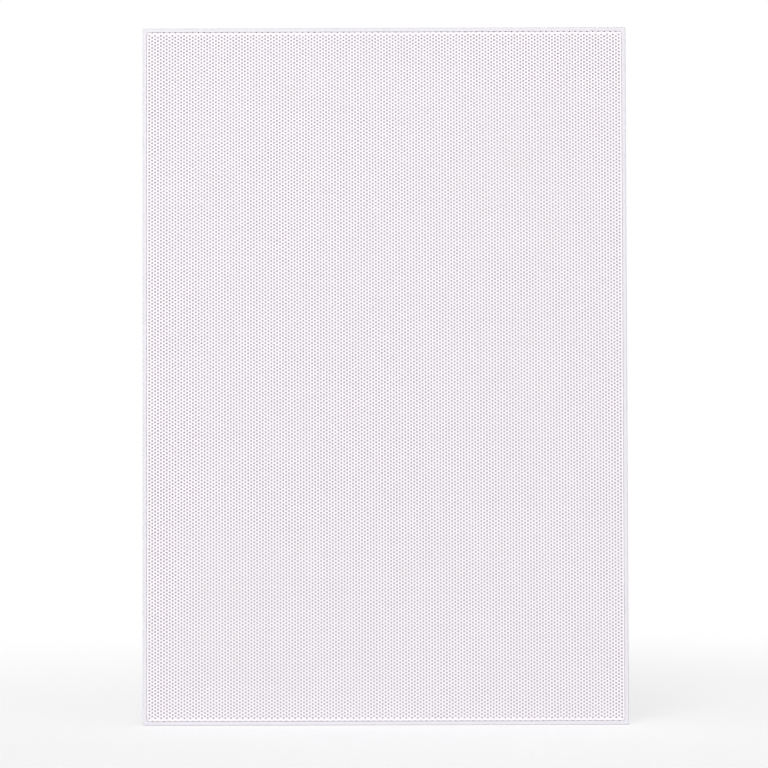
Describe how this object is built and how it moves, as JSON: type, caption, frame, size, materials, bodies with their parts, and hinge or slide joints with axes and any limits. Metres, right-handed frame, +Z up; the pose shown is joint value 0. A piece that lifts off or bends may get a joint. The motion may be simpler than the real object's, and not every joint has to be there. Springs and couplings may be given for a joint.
{
  "type": "in-wall loudspeaker",
  "caption": "Rectangular in-wall loudspeaker: a white perforated magnetic grille in a thin framed baffle with woofer, swivelling tweeter, crossover, push terminals and swing-out wall clamps.",
  "frame": {"origin": "middle of the wall cut-out, on the wall's surface, which is the plane of the flange's rear face", "axes": "+X to the right seen from the room, +Y into the wall, +Z up"},
  "size_m": [0.25, 0.101, 0.36],
  "materials": {
    "frame_plastic": "moulded white plastic, fine satin grain",
    "grille_paint": "white powder coat on perforated steel",
    "scrim_cloth": "thin white acoustic cloth",
    "magnet_nickel": "nickel plated",
    "clamp_nylon": "black glass-filled nylon",
    "screw_steel": "zinc plated",
    "basket_paint": "black paint on pressed steel",
    "gasket_foam": "closed-cell foam",
    "surround_rubber": "matt rubber",
    "cone_poly": "mica-filled polypropylene",
    "cap_poly": "soft-sheen polypropylene",
    "former_film": "amber film",
    "copper_wire": "enamelled copper",
    "spider_cloth": "resin-dipped cotton",
    "plate_zinc": "zinc plated steel",
    "ferrite": "sintered ferrite",
    "tag_laminate": "paper laminate",
    "tag_tin": "tinned brass",
    "swivel_plastic": "black moulded plastic",
    "clip_steel": "spring steel",
    "faceplate_plastic": "black satin plastic",
    "dome_cloth": "coated silk",
    "board_laminate": "green glass laminate",
    "bobbin_plastic": "black moulded plastic",
    "capacitor_sleeve": "blue sleeve",
    "film_capacitor": "yellow film",
    "resistor_ceramic": "white ceramic",
    "terminal_black": "black moulded plastic",
    "terminal_red": "red moulded plastic",
    "terminal_base": "black moulded plastic",
    "post_gold": "gilt brass",
    "spring_steel": "spring steel"
  },
  "bodies": {
    "frame": {"frame": "frame_plastic", "grille_magnets": "magnet_nickel", "woofer_basket": "basket_paint", "woofer_gasket": "gasket_foam", "woofer_surround": "surround_rubber", "woofer_spider": "spider_cloth", "woofer_tag_board": "tag_laminate", "woofer_tags": "tag_tin", "woofer_screws": "screw_steel", "woofer_top_plate": "plate_zinc", "woofer_magnet": "ferrite", "woofer_yoke": "plate_zinc", "crossover_board": "board_laminate", "crossover_bobbin": "bobbin_plastic", "crossover_winding": "copper_wire", "crossover_capacitor_large": "film_capacitor", "crossover_capacitor_small": "capacitor_sleeve", "crossover_resistor": "resistor_ceramic", "crossover_screws": "screw_steel", "terminal_plate": "terminal_base", "terminal_screws": "screw_steel", "terminal_posts": "post_gold", "terminal_spring_red": "spring_steel", "terminal_spring_black": "spring_steel"},
    "grille": {"grille": "grille_paint", "grille_scrim": "scrim_cloth"},
    "woofer_moving": {"woofer_cone": "cone_poly", "woofer_dust_cap": "cap_poly", "woofer_coil_former": "former_film", "woofer_coil_winding": "copper_wire"},
    "tweeter_swivel": {"tweeter_swivel_ring": "swivel_plastic", "tweeter_clip": "clip_steel"},
    "tweeter_ball": {"tweeter_ball": "swivel_plastic", "tweeter_pivot_pins": "screw_steel", "tweeter_faceplate": "faceplate_plastic", "tweeter_diaphragm": "dome_cloth", "tweeter_tag_board": "tag_laminate", "tweeter_tags": "tag_tin", "tweeter_top_plate": "plate_zinc", "tweeter_magnet": "ferrite", "tweeter_yoke": "plate_zinc"},
    "tweeter_coil": {"tweeter_coil_former": "former_film", "tweeter_coil_winding": "copper_wire"},
    "terminal_cap_red": {"terminal_cap_red": "terminal_red"},
    "terminal_cap_black": {"terminal_cap_black": "terminal_black"},
    "clamp_screw_top_right": {"clamp_screw_top_right": "screw_steel"},
    "clamp_arm_top_right": {"clamp_arm_top_right": "clamp_nylon"},
    "clamp_screw_top_left": {"clamp_screw_top_left": "screw_steel"},
    "clamp_arm_top_left": {"clamp_arm_top_left": "clamp_nylon"},
    "clamp_screw_middle_right": {"clamp_screw_middle_right": "screw_steel"},
    "clamp_arm_middle_right": {"clamp_arm_middle_right": "clamp_nylon"},
    "clamp_screw_middle_left": {"clamp_screw_middle_left": "screw_steel"},
    "clamp_arm_middle_left": {"clamp_arm_middle_left": "clamp_nylon"},
    "clamp_screw_bottom_right": {"clamp_screw_bottom_right": "screw_steel"},
    "clamp_arm_bottom_right": {"clamp_arm_bottom_right": "clamp_nylon"},
    "clamp_screw_bottom_left": {"clamp_screw_bottom_left": "screw_steel"},
    "clamp_arm_bottom_left": {"clamp_arm_bottom_left": "clamp_nylon"}
  },
  "joints": [
    {"name": "grille_pull", "type": "slide", "parent": "frame", "child": "grille", "axis": [0, -1, 0], "range_m": [0, 0.04]},
    {"name": "woofer_travel", "type": "slide", "parent": "frame", "child": "woofer_moving", "axis": [0, -1, 0], "range_m": [-0.004, 0.004], "stiffness_N_per_m": 1500, "deforming": ["woofer_surround", "woofer_spider"]},
    {"name": "tweeter_turn", "type": "hinge", "parent": "frame", "child": "tweeter_swivel", "pos_m": [0, 0.007, 0.1], "axis": [0, 1, 0], "range_deg": [-170, 170]},
    {"name": "tweeter_tilt", "type": "hinge", "parent": "tweeter_swivel", "child": "tweeter_ball", "pos_m": [0, 0.016, 0.1], "axis": [1, 0, 0], "range_deg": [-15, 15]},
    {"name": "tweeter_dome_travel", "type": "slide", "parent": "tweeter_ball", "child": "tweeter_coil", "axis": [0, -1, 0], "range_m": [-0.00025, 0.00025], "stiffness_N_per_m": 200, "deforming": ["tweeter_diaphragm"]},
    {"name": "terminal_press_red", "type": "slide", "parent": "frame", "child": "terminal_cap_red", "axis": [0, -1, 0], "range_m": [0, 0.0035], "stiffness_N_per_m": 600, "springref_m": -0.001, "deforming": ["terminal_spring_red"]},
    {"name": "terminal_press_black", "type": "slide", "parent": "frame", "child": "terminal_cap_black", "axis": [0, -1, 0], "range_m": [0, 0.0035], "stiffness_N_per_m": 600, "springref_m": -0.001, "deforming": ["terminal_spring_black"]},
    {"name": "clamp_swing_top_right", "type": "hinge", "parent": "frame", "child": "clamp_screw_top_right", "pos_m": [0.102, 0.007, 0.138], "axis": [0, 1, 0], "range_deg": [0, 90]},
    {"name": "clamp_draw_top_right", "type": "slide", "parent": "clamp_screw_top_right", "child": "clamp_arm_top_right", "axis": [0, -1, 0], "range_m": [0, 0.028]},
    {"name": "clamp_swing_top_left", "type": "hinge", "parent": "frame", "child": "clamp_screw_top_left", "pos_m": [-0.102, 0.007, 0.138], "axis": [0, 1, 0], "range_deg": [0, 90]},
    {"name": "clamp_draw_top_left", "type": "slide", "parent": "clamp_screw_top_left", "child": "clamp_arm_top_left", "axis": [0, -1, 0], "range_m": [0, 0.028]},
    {"name": "clamp_swing_middle_right", "type": "hinge", "parent": "frame", "child": "clamp_screw_middle_right", "pos_m": [0.102, 0.007, 0.036], "axis": [0, 1, 0], "range_deg": [0, 90]},
    {"name": "clamp_draw_middle_right", "type": "slide", "parent": "clamp_screw_middle_right", "child": "clamp_arm_middle_right", "axis": [0, -1, 0], "range_m": [0, 0.028]},
    {"name": "clamp_swing_middle_left", "type": "hinge", "parent": "frame", "child": "clamp_screw_middle_left", "pos_m": [-0.102, 0.007, 0.036], "axis": [0, 1, 0], "range_deg": [0, 90]},
    {"name": "clamp_draw_middle_left", "type": "slide", "parent": "clamp_screw_middle_left", "child": "clamp_arm_middle_left", "axis": [0, -1, 0], "range_m": [0, 0.028]},
    {"name": "clamp_swing_bottom_right", "type": "hinge", "parent": "frame", "child": "clamp_screw_bottom_right", "pos_m": [0.102, 0.007, -0.138], "axis": [0, 1, 0], "range_deg": [0, 90]},
    {"name": "clamp_draw_bottom_right", "type": "slide", "parent": "clamp_screw_bottom_right", "child": "clamp_arm_bottom_right", "axis": [0, -1, 0], "range_m": [0, 0.028]},
    {"name": "clamp_swing_bottom_left", "type": "hinge", "parent": "frame", "child": "clamp_screw_bottom_left", "pos_m": [-0.102, 0.007, -0.138], "axis": [0, 1, 0], "range_deg": [0, 90]},
    {"name": "clamp_draw_bottom_left", "type": "slide", "parent": "clamp_screw_bottom_left", "child": "clamp_arm_bottom_left", "axis": [0, -1, 0], "range_m": [0, 0.028]}
  ]
}
